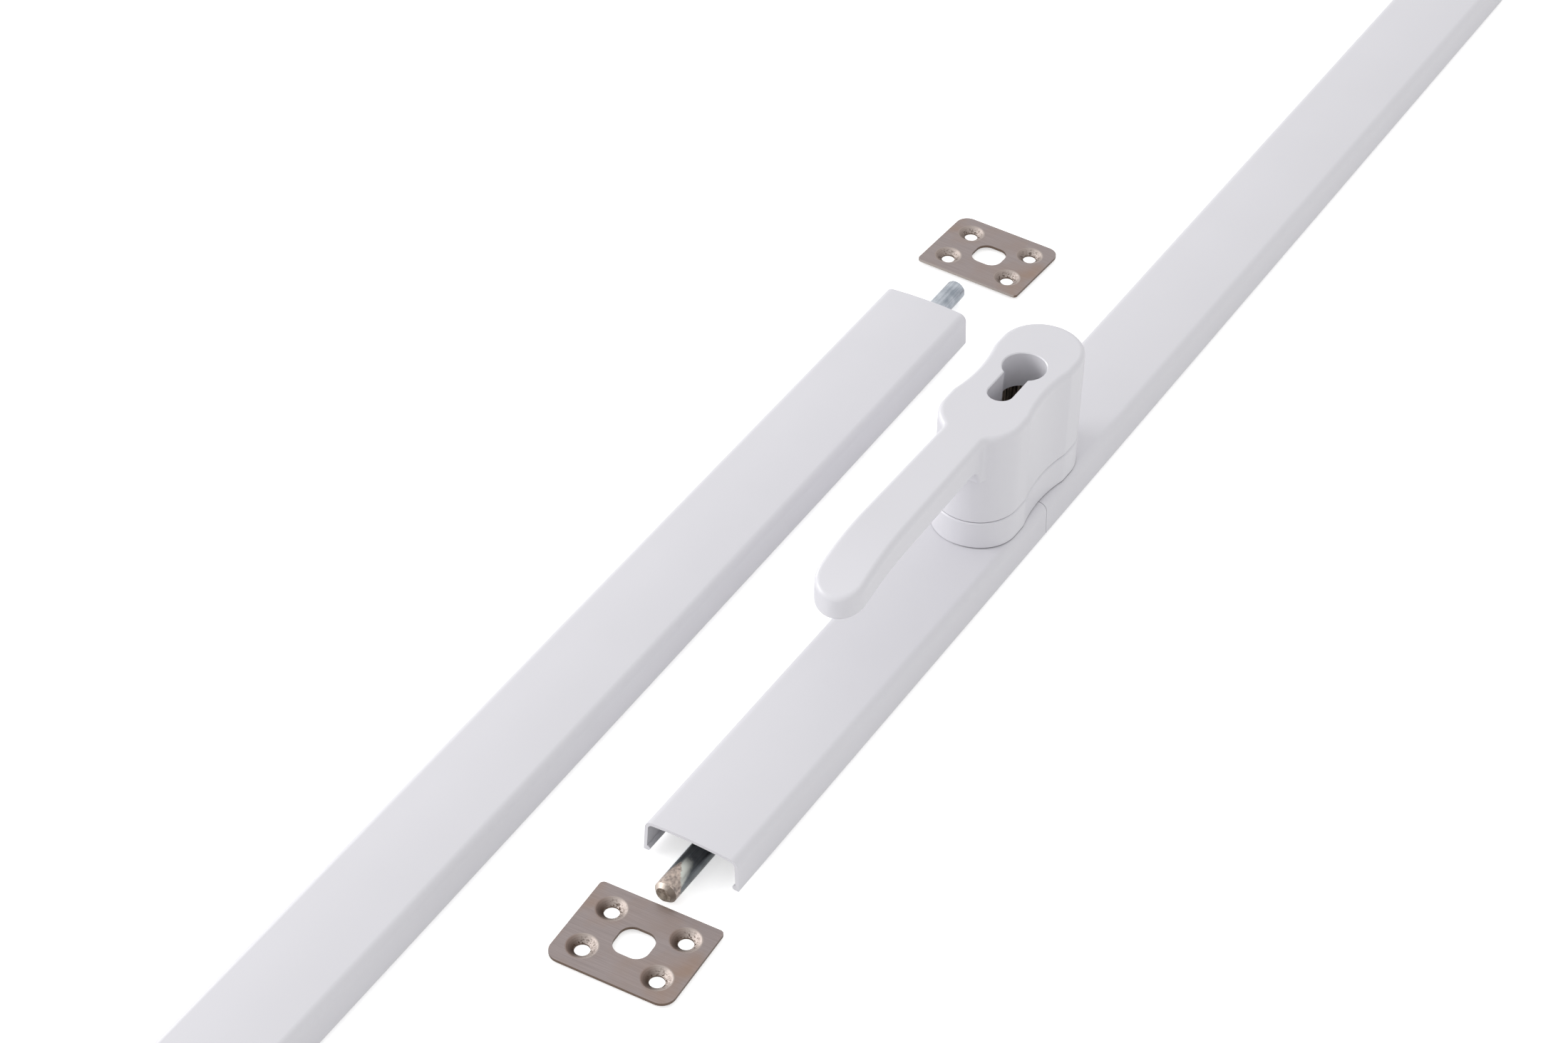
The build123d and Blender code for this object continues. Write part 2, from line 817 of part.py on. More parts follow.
with BuildPart() as lower_rod:
    add(rod_piece(drive, -rod_start, foot_rod_tip - rod_start, (tip_chamfer, rod_chamfer)))
    add(end_hole(drive, -rod_start, spigot_radius + run_fit, spigot_length), mode=Mode.SUBTRACT)
    add(pin_hole(drive), mode=Mode.SUBTRACT)
finish(lower_rod.part, "lower_rod")

with BuildPart() as upper_rod:
    add(rod_piece(opposite, -rod_start, upper_rod_tip - rod_start, (tip_chamfer, rod_chamfer)))
    add(
        end_hole(opposite, -rod_start, spigot_radius + run_fit, spigot_length),
        mode=Mode.SUBTRACT,
    )
    add(pin_hole(opposite), mode=Mode.SUBTRACT)
    add(
        end_hole(drive, upper_rod_tip, stud_radius + run_fit, stud_length - stud_reach),
        mode=Mode.SUBTRACT,
    )
finish(upper_rod.part, "upper_rod")

finish(cross_pin(drive), "lower_cross_pin")
finish(cross_pin(opposite), "upper_cross_pin")

with BuildPart() as joining_stud:
    add(end_hole(drive, upper_rod_tip + stud_reach, stud_radius, stud_length))
    chamfer(joining_stud.edges().filter_by(GeomType.CIRCLE), tip_chamfer)
finish(joining_stud.part, "joining_stud")

with BuildPart() as head_rod:
    add(rod_piece(head, head_rod_tip, head_rod_tip - head_rod_foot, (rod_chamfer, tip_chamfer)))
    add(
        end_hole(head, head_rod_foot + tapped_depth, tapped_radius, tapped_depth),
        mode=Mode.SUBTRACT,
    )
finish(head_rod.part, "head_rod")

# Rod guides


def guide_section():
    """Section of a guide: a foot, two ears that clip over the cover's beads, and the rod's boss."""
    ear = guide_clip_width / 2
    ear_tip = guide_ear_tip_width / 2
    with BuildSketch() as section:
        with Locations((0, guide_valley_floor / 2)):
            Rectangle(guide_foot_width, guide_valley_floor)
        for side in (-1, 1):
            with BuildLine():
                Polyline(
                    (side * guide_foot_width / 2, 0),
                    (side * guide_foot_width / 2, guide_clip_height),
                    (side * ear, guide_clip_height),
                    (side * ear_tip, guide_ear_top),
                    (side * (ear_tip - guide_ear_wall), guide_ear_top),
                    (side * (ear - guide_ear_wall), guide_valley_floor),
                    (side * (ear - 2 * guide_ear_wall), guide_valley_floor / 2),
                    close=True,
                )
            make_face()
        with Locations((0, guide_rise / 2)):
            RectangleRounded(guide_boss_width, guide_rise, guide_boss_round)
        with Locations((0, rod_height)):
            Circle(rod_radius + slide_fit, mode=Mode.SUBTRACT)
    return section.sketch


def rod_guide(frame, along):
    """Moulded guide with two countersunk holes for screws into the door."""
    with BuildPart() as guide:
        with BuildSketch(across(frame, along + guide_length / 2)):
            add(guide_section())
        extrude(amount=guide_length)
        with Locations(level(frame, guide_valley_floor)):
            with Locations((-guide_screw_spacing / 2, along), (guide_screw_spacing / 2, along)):
                CounterSinkHole(guide_screw_radius, guide_screw_head)
    return guide.part


finish(rod_guide(drive, foot_guide_place), "foot_guide")
finish(rod_guide(drive, lower_guide_place), "lower_guide")
finish(rod_guide(drive, upper_guide_place), "upper_guide")
finish(rod_guide(drive, middle_guide_place), "middle_guide")
finish(rod_guide(drive, joint_guide_place), "joint_guide")
finish(rod_guide(head, head_guide_place), "head_guide")
finish(rod_guide(head, head_middle_guide_place), "head_middle_guide")
finish(rod_guide(head, head_joint_guide_place), "head_joint_guide")

# Lock pin and spring

with BuildPart() as lock_pin:
    with BuildSketch(level(drive, lock_tip)):
        with Locations((0, lock_place)):
            Circle(lock_radius)
    extrude(amount=lock_shoulder - lock_tip)
    chamfer(lock_pin.edges().group_by(Axis.Z)[0], tip_chamfer)
    with BuildSketch(level(drive, lock_shoulder)):
        with Locations((0, lock_place)):
            Circle(lock_head_radius)
    extrude(amount=lock_head_height)
    chamfer(lock_pin.edges().group_by(Axis.Z)[-1], lock_bevel)
finish(lock_pin.part, "lock_pin")

with BuildPart() as lock_spring:
    with BuildLine() as coil:
        Helix(
            pitch=(spring_length - 2 * spring_wire) / spring_turns,
            height=spring_length - 2 * spring_wire,
            radius=spring_radius,
            center=(0, lock_place, spring_floor + spring_wire),
        )
    with BuildSketch(Plane(origin=coil.line @ 0, z_dir=coil.line % 0)):
        Circle(spring_wire)
    sweep(is_frenet=True)
finish(lock_spring.part, "lock_spring")

# Strike plates


def strike_plate(frame):
    """Sheet plate with a hole for the rod's end and four pressed countersinks."""
    upright = (Align.CENTER, Align.CENTER, Align.MIN)
    with BuildPart() as plate:
        with BuildSketch(level(frame, strike_floor)) as outline:
            Rectangle(strike_width, strike_height)
            fillet(outline.vertices().group_by(Axis.Y)[-1], strike_far_corner)
            fillet(outline.vertices().group_by(Axis.Y)[0], strike_near_corner)
            RectangleRounded(
                strike_slot_width, strike_slot_height, strike_slot_corner, mode=Mode.SUBTRACT
            )
        extrude(amount=strike_thickness)
        with Locations(frame):
            with GridLocations(*strike_hole_spacing, 2, 2):
                Cone(
                    strike_hole_radius + strike_thickness,
                    strike_rim_radius + strike_land,
                    strike_dimple,
                    align=upright,
                )
        with Locations(level(frame, strike_land)):
            with GridLocations(*strike_hole_spacing, 2, 2):
                Cone(
                    strike_hole_radius,
                    strike_rim_radius,
                    strike_dimple - strike_land,
                    align=upright,
                    mode=Mode.SUBTRACT,
                )
        with Locations(frame):
            with GridLocations(*strike_hole_spacing, 2, 2):
                Cylinder(strike_hole_radius, strike_land, align=upright, mode=Mode.SUBTRACT)
        rims = plate.edges().group_by(Axis.Z)[-1].filter_by(GeomType.CIRCLE)
        rims = rims.filter_by(lambda edge: abs(edge.radius - strike_rim_radius) < run_fit)
        fillet(rims, strike_rim_round)
    return plate.part


finish(strike_plate(plate_frame(foot_plate_place, foot_plate_turn)), "foot_strike_plate")
finish(strike_plate(plate_frame(head_plate_place, head_plate_turn)), "head_strike_plate")
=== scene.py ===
"""Cremone door bolt shown flat in two lengths, with powder-coated covers, zinc-plated rods and strike plates.

The packed solids stay where they are and get their finishes here. Threads, driver recesses and the lock
spring are worked out as surfaces in this file. Metres throughout, in the frame of the solids.
"""

import math

import bmesh
import bpy
import numpy as np
from bpy.props import FloatProperty, FloatVectorProperty, IntProperty, PointerProperty, StringProperty
from mathutils import Matrix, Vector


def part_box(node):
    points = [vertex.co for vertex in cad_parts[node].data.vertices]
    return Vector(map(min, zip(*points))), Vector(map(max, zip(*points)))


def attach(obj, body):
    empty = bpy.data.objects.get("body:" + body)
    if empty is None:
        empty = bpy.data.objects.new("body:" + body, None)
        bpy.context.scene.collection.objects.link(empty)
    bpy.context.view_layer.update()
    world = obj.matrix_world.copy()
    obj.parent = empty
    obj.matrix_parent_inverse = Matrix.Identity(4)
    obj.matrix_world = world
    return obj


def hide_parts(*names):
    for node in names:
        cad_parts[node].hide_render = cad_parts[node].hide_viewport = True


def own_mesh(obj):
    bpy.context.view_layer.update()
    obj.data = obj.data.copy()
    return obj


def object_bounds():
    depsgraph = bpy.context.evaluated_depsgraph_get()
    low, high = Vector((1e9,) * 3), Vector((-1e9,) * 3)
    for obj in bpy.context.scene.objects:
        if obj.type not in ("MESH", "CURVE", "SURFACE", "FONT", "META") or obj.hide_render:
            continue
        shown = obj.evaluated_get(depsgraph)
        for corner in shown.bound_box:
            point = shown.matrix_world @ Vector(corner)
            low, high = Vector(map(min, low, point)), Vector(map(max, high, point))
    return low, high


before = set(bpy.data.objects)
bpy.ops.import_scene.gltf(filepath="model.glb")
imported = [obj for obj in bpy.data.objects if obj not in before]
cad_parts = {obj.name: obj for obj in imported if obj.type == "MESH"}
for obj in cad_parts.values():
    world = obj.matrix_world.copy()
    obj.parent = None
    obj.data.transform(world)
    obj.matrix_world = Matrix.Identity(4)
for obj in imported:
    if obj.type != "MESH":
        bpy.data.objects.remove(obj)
solid_bounds = [list(corner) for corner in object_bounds()]

bl_info = {
    "name": "Cremone bolt",
    "version": (1, 0, 0),
    "blender": (4, 5, 0),
    "location": "3D View > Sidebar > Cremone bolt",
    "description": "Finishes, threads and springs for a flat cremone door bolt",
    "category": "Object",
}

MM = 0.001
WHITE = (1.0, 1.0, 1.0, 1.0)


# Colours and nodes


def linear(hex_colour):
    """Linear RGBA of an sRGB hex colour.

    Each channel c becomes ((c + 0.055) / 1.055) ** 2.4, or c / 12.92 near black.
    """
    channels = np.array([int(hex_colour[i:i + 2], 16) for i in (1, 3, 5)]) / 255
    edge_highlight = ((channels + 0.055) / 1.055) ** 2.4
    return (*np.where(channels <= 0.04045, channels / 12.92, edge_highlight), 1.0)


def feed(tree, node, inputs):
    """Give a node its inputs, by name or number: sockets are linked and values are set."""
    for key, value in inputs.items():
        if isinstance(value, bpy.types.NodeSocket):
            tree.links.new(value, node.inputs[key])
        else:
            node.inputs[key].default_value = value


def add_node(tree, kind, inputs=None, **settings):
    """Add one node with settings of its own and with its inputs."""
    node = tree.nodes.new(kind)
    for key, value in settings.items():
        setattr(node, key, value)
    feed(tree, node, inputs or {})
    return node


def new_finish(name):
    """Empty material; gives the material, its tree and its surface shader."""
    finish = bpy.data.materials.new(name)
    finish.use_nodes = True
    tree = finish.node_tree
    tree.nodes.clear()
    shader = add_node(tree, "ShaderNodeBsdfPrincipled")
    add_node(tree, "ShaderNodeOutputMaterial", {"Surface": shader.outputs["BSDF"]})
    return finish, tree, shader


def object_place(tree):
    """Place on the object, in metres."""
    return add_node(tree, "ShaderNodeTexCoord").outputs["Object"]


def onto_piece(tree, place, origin, turn):
    """Place measured from a piece's own origin, turned with it about Z."""
    node = add_node(tree, "ShaderNodeMapping", {
        "Vector": place, "Location": origin, "Rotation": (0.0, 0.0, turn)}, vector_type="TEXTURE")
    return node.outputs["Vector"]


def split(tree, vector):
    """The parts X, Y and Z of a vector."""
    return add_node(tree, "ShaderNodeSeparateXYZ", {"Vector": vector}).outputs


def maths(tree, operation, *values):
    """Result of one sum of numbers or sockets."""
    return add_node(tree, "ShaderNodeMath", dict(enumerate(values)), operation=operation).outputs[0]


def vector_maths(tree, operation, *values):
    """Result of one sum of vectors: a number for a length or a dot product, or else a vector."""
    node = add_node(tree, "ShaderNodeVectorMath", dict(enumerate(values)), operation=operation)
    return node.outputs["Value" if operation in ("LENGTH", "DOT_PRODUCT") else "Vector"]


def fade(tree, value, start, end, low=0.0, high=1.0, smooth=False):
    """Low where the value is at the start, high at the end, even or smooth between, and held beyond."""
    node = add_node(tree, "ShaderNodeMapRange", {
        "Value": value, "From Min": start, "From Max": end, "To Min": low, "To Max": high},
        interpolation_type="SMOOTHSTEP" if smooth else "LINEAR")
    return node.outputs["Result"]


def noise(tree, place, width, detail):
    """Grey noise with patches of this width."""
    node = add_node(tree, "ShaderNodeTexNoise", {"Vector": place, "Scale": 1 / width, "Detail": detail})
    return node.outputs["Fac"]


def streaks(tree, place, widths):
    """Grey noise with patches of these widths along X, Y and Z."""
    scales = tuple(1 / width for width in widths)
    scaled = add_node(tree, "ShaderNodeMapping", {"Vector": place, "Scale": scales})
    return noise(tree, scaled.outputs["Vector"], 1.0, 3.0)


def blend(tree, share, first, second, kind="RGBA", way="MIX"):
    """Colour or number that goes from the first to the second with the share; colours may be sRGB hex."""
    first, second = (linear(part) if isinstance(part, str) else part for part in (first, second))
    node = add_node(tree, "ShaderNodeMix", {"Factor": share, "A": first, "B": second},
                    data_type=kind, blend_type=way)
    return node.outputs["Result"]


def tinted(tree, colour, shade):
    """Colour times a grey value."""
    return blend(tree, 1.0, colour, shade, way="MULTIPLY")


def emboss(tree, shader, height, strength, distance):
    """Fine relief of the surface, of this depth between a height of 0 and 1."""
    node = add_node(tree, "ShaderNodeBump", {"Height": height, "Strength": strength, "Distance": distance})
    feed(tree, shader, {"Normal": node.outputs["Normal"]})


def present_coat(finish):
    """Tree, surface shader and present colour of a finish."""
    tree = finish.node_tree
    shader = next(node for node in tree.nodes if node.type == "BSDF_PRINCIPLED")
    return tree, shader, shader.inputs["Base Color"].links[0].from_socket


# Stage


class StageSizes(bpy.types.PropertyGroup):
    """Camera, lamps and floor."""

    camera_place: FloatVectorProperty(
        name="Camera place", description="Where the camera stands", unit="LENGTH", size=3,
        default=(0.432858, -0.906153, 0.844999), precision=6)
    camera_pitch: FloatProperty(
        name="Pitch", description="How far the camera looks down", subtype="ANGLE", default=0.703578)
    camera_swing: FloatProperty(
        name="Swing", description="How far the camera looks to the left of +Y", subtype="ANGLE",
        default=0.532693)
    camera_roll: FloatProperty(
        name="Roll", description="How far the camera is turned about its own line of sight",
        subtype="ANGLE", default=0.0240237)
    camera_lens: FloatProperty(
        name="Lens", description="Focal length on a sensor 36 mm wide", subtype="DISTANCE_CAMERA",
        default=74.8377)
    sky: FloatProperty(
        name="Sky", description="Strength of the even light from all round", default=0.82, min=0)
    key: FloatProperty(
        name="Key lamp", description="Power of the large soft lamp on the left", subtype="POWER",
        unit="POWER", default=34.0, min=0)
    key_place: FloatVectorProperty(
        name="Key place", description="Where the key lamp hangs", unit="LENGTH", size=3,
        default=(-2.2, -1.36, 1.12))
    key_width: FloatProperty(
        name="Key width", description="Side of the key lamp", unit="LENGTH", default=1.4)
    shade: FloatProperty(
        name="Studio shade", description="Brightness that metal mirrors on the studio's right, 1 is white",
        default=0.94, min=0, max=1)
    edge: FloatProperty(
        name="Edge lamp", description="Power of the low lamp that draws edges on the left",
        subtype="POWER", unit="POWER", default=4.0, min=0)
    edge_place: FloatVectorProperty(
        name="Edge lamp place", description="Where the edge lamp hangs", unit="LENGTH", size=3,
        default=(-1.2, 0.1, 0.36))
    edge_width: FloatProperty(
        name="Edge lamp width", description="Side of the edge lamp", unit="LENGTH", default=0.3)
    floor_reach: FloatProperty(
        name="Floor reach", description="Half of the floor's side", unit="LENGTH", default=6.0)
    floor_glow: FloatProperty(
        name="Floor glow", description="Light added to the floor where it is seen", default=0.55, min=0)
    floor_mirrored: FloatProperty(
        name="Floor mirrored", description="Share of that glow which gloss mirrors", default=0.55,
        min=0, max=1)


class CREMONE_OT_stage(bpy.types.Operator):
    """Set the camera, the lamps, the sky and the pale floor"""

    bl_idname = "cremone.stage"
    bl_label = "Stage"

    def execute(self, context):
        sizes = context.scene.cremone_stage
        scene = context.scene
        scene.view_settings.view_transform = "Standard"
        self.place_camera(scene, sizes)
        self.light(scene, sizes)
        self.lay_floor(scene, sizes)
        return {"FINISHED"}

    def place_camera(self, scene, sizes):
        """Turn the camera by its pitch p, swing s and roll.

        It looks along (-sin s cos p, cos s cos p, -sin p).
        """
        pitch, swing, roll = sizes.camera_pitch, sizes.camera_swing, sizes.camera_roll
        forward = np.array((
            -math.sin(swing) * math.cos(pitch), math.cos(swing) * math.cos(pitch), -math.sin(pitch)))
        level = np.array((math.cos(swing), math.sin(swing), 0.0))
        upright = np.cross(level, forward)
        right = math.cos(roll) * level + math.sin(roll) * upright
        up = math.cos(roll) * upright - math.sin(roll) * level
        data = bpy.data.cameras.new("camera")
        data.lens = sizes.camera_lens
        data.sensor_width = 36
        data.clip_start = 0.01
        camera = bpy.data.objects.new("camera", data)
        turn = Matrix((right, up, -forward)).transposed().to_4x4()
        camera.matrix_world = Matrix.Translation(sizes.camera_place) @ turn
        scene.collection.objects.link(camera)
        scene.camera = camera

    def light(self, scene, sizes):
        """Even sky, white where it is seen, one soft lamp on the left, and a low one that only gloss sees.

        What metal mirrors goes from white on the left to the shade of the studio's unlit right side: a smooth
        step of the direction's part along the lit side.
        """
        lit_side = (-0.8, -0.2, 0.6)
        world = bpy.data.worlds.new("sky")
        world.use_nodes = True
        tree = world.node_tree
        tree.nodes.clear()
        ray = add_node(tree, "ShaderNodeLightPath").outputs
        seen = maths(tree, "MAXIMUM", ray["Is Camera Ray"], ray["Is Glossy Ray"])
        seen = maths(tree, "MAXIMUM", seen, ray["Is Transmission Ray"])
        way = add_node(tree, "ShaderNodeTexCoord").outputs["Generated"]
        lean = vector_maths(tree, "DOT_PRODUCT", way, lit_side)
        studio = fade(tree, lean, -0.6, 0.1, sizes.shade, 1.0, smooth=True)
        mirrored = blend(tree, ray["Is Glossy Ray"], 1.0, studio, kind="FLOAT")
        strength = fade(tree, seen, 0.0, 1.0, sizes.sky, mirrored)
        glow = add_node(tree, "ShaderNodeBackground", {"Color": WHITE, "Strength": strength})
        add_node(tree, "ShaderNodeOutputWorld", {"Surface": glow.outputs["Background"]})
        scene.world = world
        self.hang_lamp(scene, "key_lamp", sizes.key, sizes.key_width, sizes.key_place)
        edge = self.hang_lamp(scene, "edge_lamp", sizes.edge, sizes.edge_width, sizes.edge_place)
        edge.visible_diffuse = False

    def hang_lamp(self, scene, name, power, width, place):
        """Square lamp at a place, turned towards the origin."""
        data = bpy.data.lights.new(name, "AREA")
        data.energy = power
        data.size = width
        lamp = bpy.data.objects.new(name, data)
        away = np.array(place) / np.linalg.norm(place)
        side = np.cross((0, 0, 1), away)
        side /= np.linalg.norm(side)
        turn = Matrix((side, np.cross(away, side), away)).transposed().to_4x4()
        lamp.matrix_world = Matrix.Translation(place) @ turn
        scene.collection.objects.link(lamp)
        return lamp

    def lay_floor(self, scene, sizes):
        """White paper on the plane that the bolt lies on, lifted to white where it is seen or mirrored."""
        finish, tree, shader = new_finish("white_paper")
        ray = add_node(tree, "ShaderNodeLightPath").outputs
        mirrored = maths(tree, "MULTIPLY", ray["Is Glossy Ray"], sizes.floor_mirrored)
        seen = maths(tree, "MAXIMUM", ray["Is Camera Ray"], ray["Is Transmission Ray"])
        seen = maths(tree, "MAXIMUM", seen, mirrored)
        feed(tree, shader, {
            "Base Color": (0.88, 0.88, 0.88, 1.0), "Roughness": 1.0, "Specular IOR Level": 0.0,
            "Emission Color": WHITE, "Emission Strength": maths(tree, "MULTIPLY", seen, sizes.floor_glow)})
        reach = sizes.floor_reach
        low = solid_bounds[0][2]
        corners = [(-reach, -reach, low), (reach, -reach, low), (reach, reach, low), (-reach, reach, low)]
        mesh = bpy.data.meshes.new("floor")
        mesh.from_pydata(corners, [], [(0, 1, 2, 3)])
        mesh.materials.append(finish)
        floor = bpy.data.objects.new("floor", mesh)
        scene.collection.objects.link(floor)


# Finishes shared by the pieces


def dress(names, finish):
    """Give the solids of these names one finish."""
    for name in names:
        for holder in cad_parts[name].material_slots:
            holder.material = finish


def powder_coat(name, colour, roughness, peel_mm):
    """Polyester powder coat on extruded or cast aluminium: satin, with a faint orange-peel ripple.

    It looks pale, even and soft, and only tight edges catch a clear highlight.
    """
    flow_width = 40 * MM
    finish, tree, shader = new_finish(name)
    place = object_place(tree)
    # flow of the molten powder: patches that differ by a shade nobody notices alone
    flow = fade(tree, noise(tree, place, flow_width, 1.0), 0.3, 0.7, 0.985, 1.0)
    feed(tree, shader, {"Base Color": tinted(tree, colour, flow), "Roughness": roughness})
    emboss(tree, shader, noise(tree, place, peel_mm * MM, 2.0), 0.05, 0.02 * MM)
    return finish


def ground_stainless(name, plate, turn, highlit_edge, stained, sizes):
    """Stainless sheet, ground along its length and pressed: warm grey, fine lines, turned countersinks.

    The lines lie along the long side. Rings and specks stay in the four countersinks, and one side of every
    countersink is painted brown as shade. The fourth argument is the place, across the plate, of the long
    edge with a painted highlight, and the fifth, from 0 to 1, is how brown that painted shade is.
    """
    # lines of 0.05 mm are drawn at a gap of 0.35 mm, because finer ones vanish in the picture
    line_length, line_gap = 50 / 3 * MM, 0.35 * MM
    cloud_width, speck_width, ring_gap = 14 * MM, 0.8 * MM, 0.7 * MM
    # the side of every countersink that this way points to gets painted shade
    shade_way = (-0.85, -0.5, 0.0)
    rim, rim_width = sizes.rim_radius, 0.5 * MM
    finish, tree, shader = new_finish(name)
    place = object_place(tree)
    flat = onto_piece(tree, place, (*plate, 0.0), turn)
    lines = streaks(tree, flat, (line_length, line_gap, line_length))
    # every countersink is folded onto one, so that rings are drawn round its centre
    axes = split(tree, flat)
    along = maths(tree, "SUBTRACT", maths(tree, "ABSOLUTE", axes["X"]), sizes.hole_along)
    across = maths(tree, "SUBTRACT", maths(tree, "ABSOLUTE", axes["Y"]), sizes.hole_across)
    folded = add_node(tree, "ShaderNodeCombineXYZ", {"X": along, "Y": across}).outputs["Vector"]
    reach = vector_maths(tree, "LENGTH", folded)
    inside = fade(tree, reach, rim, rim - rim_width)
    rings = maths(tree, "SINE", maths(tree, "MULTIPLY", reach, 2 * math.pi / ring_gap))
    # the fold is undone for the painted shade, which lies on the same side of every hole
    side = vector_maths(tree, "MULTIPLY", vector_maths(tree, "SIGN", flat), folded)
    side = vector_maths(tree, "DOT_PRODUCT", side, shade_way)
    shaded_side = fade(tree, side, -0.35 * rim, 0.8 * rim, 0.0, stained, smooth=True)
    deep = fade(tree, reach, 0.9 * rim, 0.55 * rim)
    specks = fade(tree, noise(tree, place, speck_width, 4.0), 0.48, 0.62)
    stain = maths(tree, "MAXIMUM", maths(tree, "MULTIPLY", specks, deep), maths(tree, "MULTIPLY", shaded_side, deep))
    # colour: ground face, then brown clouds strongest at the short ends, then cones with specks and painted
    # shade
    ground = tinted(tree, sizes.colour, fade(tree, lines, 0.3, 0.7, 0.88, 1.10))
    cloud = fade(tree, noise(tree, flat, cloud_width, 3.0), 0.45, 0.75, 0.0, 0.6)
    cloud = maths(tree, "MULTIPLY", cloud, fade(tree, along, -8 * MM, 8 * MM, 0.45, 1.0))
    face = blend(tree, cloud, ground, "#9A7F6B")
    # the cone is darker and browner on that side: painted shade
    bare = blend(tree, shaded_side, "#B6ABA5", "#93827A")
    cone = tinted(tree, bare, fade(tree, rings, -1.0, 1.0, 0.9, 1.0))
    skin = blend(tree, inside, face, blend(tree, stain, cone, "#45362C"))
    # sheared walls of the edge and of the holes are brown, and the long edge with the sharp corners gets a
    # painted highlight
    upright = split(tree, add_node(tree, "ShaderNodeNewGeometry").outputs["Normal"])["Z"]
    # painted highlight on the walls of one long edge
    edge_highlight = fade(tree, axes["Y"], 0.98 * highlit_edge, 0.995 * highlit_edge)
    sheared = blend(tree, edge_highlight, "#6E5E54", "#A69D98")
    skin = blend(tree, fade(tree, upright, 0.5, 0.1), skin, sheared)
    rough = blend(tree, inside, fade(tree, lines, 0.3, 0.7, 0.34, 0.46), 0.55, kind="FLOAT")
    feed(tree, shader, {"Base Color": skin, "Metallic": 1.0, "Roughness": rough})
    emboss(tree, shader, blend(tree, inside, lines, rings, kind="FLOAT"), 0.25, 0.01 * MM)
    return finish


def zinc_bar(name, origin, turn, tip, colour, dark, wear_and_sheen):
    """Drawn steel bar with blue-passivated zinc: cold grey, streaked along its length, with wear at its tip.

    With wear, a bar has a brownish patch with frayed edges, partly wear and partly a painted reflection of
    the light, a light greenish patch beside it, partly wear and partly a painted highlight, a chamfer with a
    painted highlight above and left and painted shade below, and a sawn, pitted end.
    """
    streak_width, streak_length = 0.5 * MM, 25 * MM
    bloom_width, fray_width, fray_reach = 6 * MM, 1.2 * MM, 3 * MM
    rub_length, rub_edge, right_slope, left_slope = 15.7 * MM, 0.8 * MM, 1.65, -3.2
    pale_width, pale_length, pale_edge = 4.1 * MM, 15.2 * MM, 1 * MM
    finish, tree, shader = new_finish(name)
    bar = onto_piece(tree, object_place(tree), origin, turn)
    streak = streaks(tree, bar, (streak_width, streak_length, streak_width))
    bloom = noise(tree, bar, bloom_width, 3.0)
    fray = noise(tree, bar, fray_width, 4.0)
    tone = fade(tree, maths(tree, "MULTIPLY_ADD", streak, 0.7, bloom), 0.65, 1.05)
    zinc = blend(tree, tone, dark, colour)
    # the brownish patch is partly wear and partly a painted reflection of the light; seen from above, it is a
    # wedge that points away from the tip, steep on its left, frayed at its edge
    near = split(tree, vector_maths(tree, "SUBTRACT", bar, tip))
    frayed = maths(tree, "MULTIPLY_ADD", fray, fray_reach, near["Y"])
    slope = maths(tree, "MULTIPLY_ADD", near["X"], right_slope, frayed)
    steep = maths(tree, "MULTIPLY_ADD", near["X"], left_slope, frayed)
    rub_and_sheen = maths(tree, "MAXIMUM", slope, steep)
    rub_and_sheen = fade(tree, rub_and_sheen, rub_length, rub_length - rub_edge, 0.0, wear_and_sheen)
    mottle = fade(tree, maths(tree, "MULTIPLY_ADD", bloom, 0.8, fray), 0.72, 1.1)
    rubbed_and_lit = blend(tree, mottle, "#837974", "#CBBBB0")
    # right of the brownish patch the zinc is light and greenish, partly wear and partly a painted highlight,
    # up to a rounded line
    # (x / pale_width)^4 + (y / pale_length)^2 = 1, and dark beyond it
    bulge = maths(tree, "MULTIPLY", split(tree, bar)["X"], 1 / pale_width)
    bulge = maths(tree, "MULTIPLY", bulge, bulge)
    back = maths(tree, "MULTIPLY", near["Y"], 1 / pale_length)
    line = add_node(tree, "ShaderNodeCombineXYZ", {"X": bulge, "Y": back}).outputs["Vector"]
    line = maths(tree, "MULTIPLY_ADD", fray, 0.15, vector_maths(tree, "LENGTH", line))
    pale_and_sheen = fade(tree, line, 1.24, 1.0, smooth=True)
    pale_and_sheen = maths(tree, "MULTIPLY", pale_and_sheen, fade(tree, near["X"], 0.0, pale_edge, 0.0, wear_and_sheen))
    skin = blend(tree, rub_and_sheen, blend(tree, pale_and_sheen, zinc, "#CFD2CB"), rubbed_and_lit)
    # the chamfer has a painted highlight above and left and painted brown shade below, and the end is sawn
    # and pitted
    facing = add_node(tree, "ShaderNodeNewGeometry").outputs["Normal"]
    # painted light on the chamfer by the way it faces: lighter up and left, darker and browner below
    above = vector_maths(tree, "DOT_PRODUCT", facing, (-0.7, 0.0, 0.7))
    above = fade(tree, maths(tree, "MULTIPLY_ADD", fray, 0.5, above), 0.45, 0.8)
    chamfer_light_and_shade = blend(tree, above, "#877C73", "#CABFB6")
    sawn = blend(tree, fade(tree, fray, 0.35, 0.65), "#8A7F73", "#C4B9AC")
    lengthwise = maths(tree, "ABSOLUTE", split(tree, facing)["Y"])
    turned = fade(tree, lengthwise, 0.35, 0.6, 0.0, wear_and_sheen)
    skin = blend(tree, turned, skin, blend(tree, fade(tree, lengthwise, 0.8, 0.97), chamfer_light_and_shade, sawn))
    rough = blend(tree, turned, fade(tree, streak, 0.3, 0.7, 0.28, 0.42), 0.52, kind="FLOAT")
    feed(tree, shader, {"Base Color": skin, "Metallic": 1.0, "Roughness": rough})
    emboss(tree, shader, streak, 0.2, 0.02 * MM)
    return finish


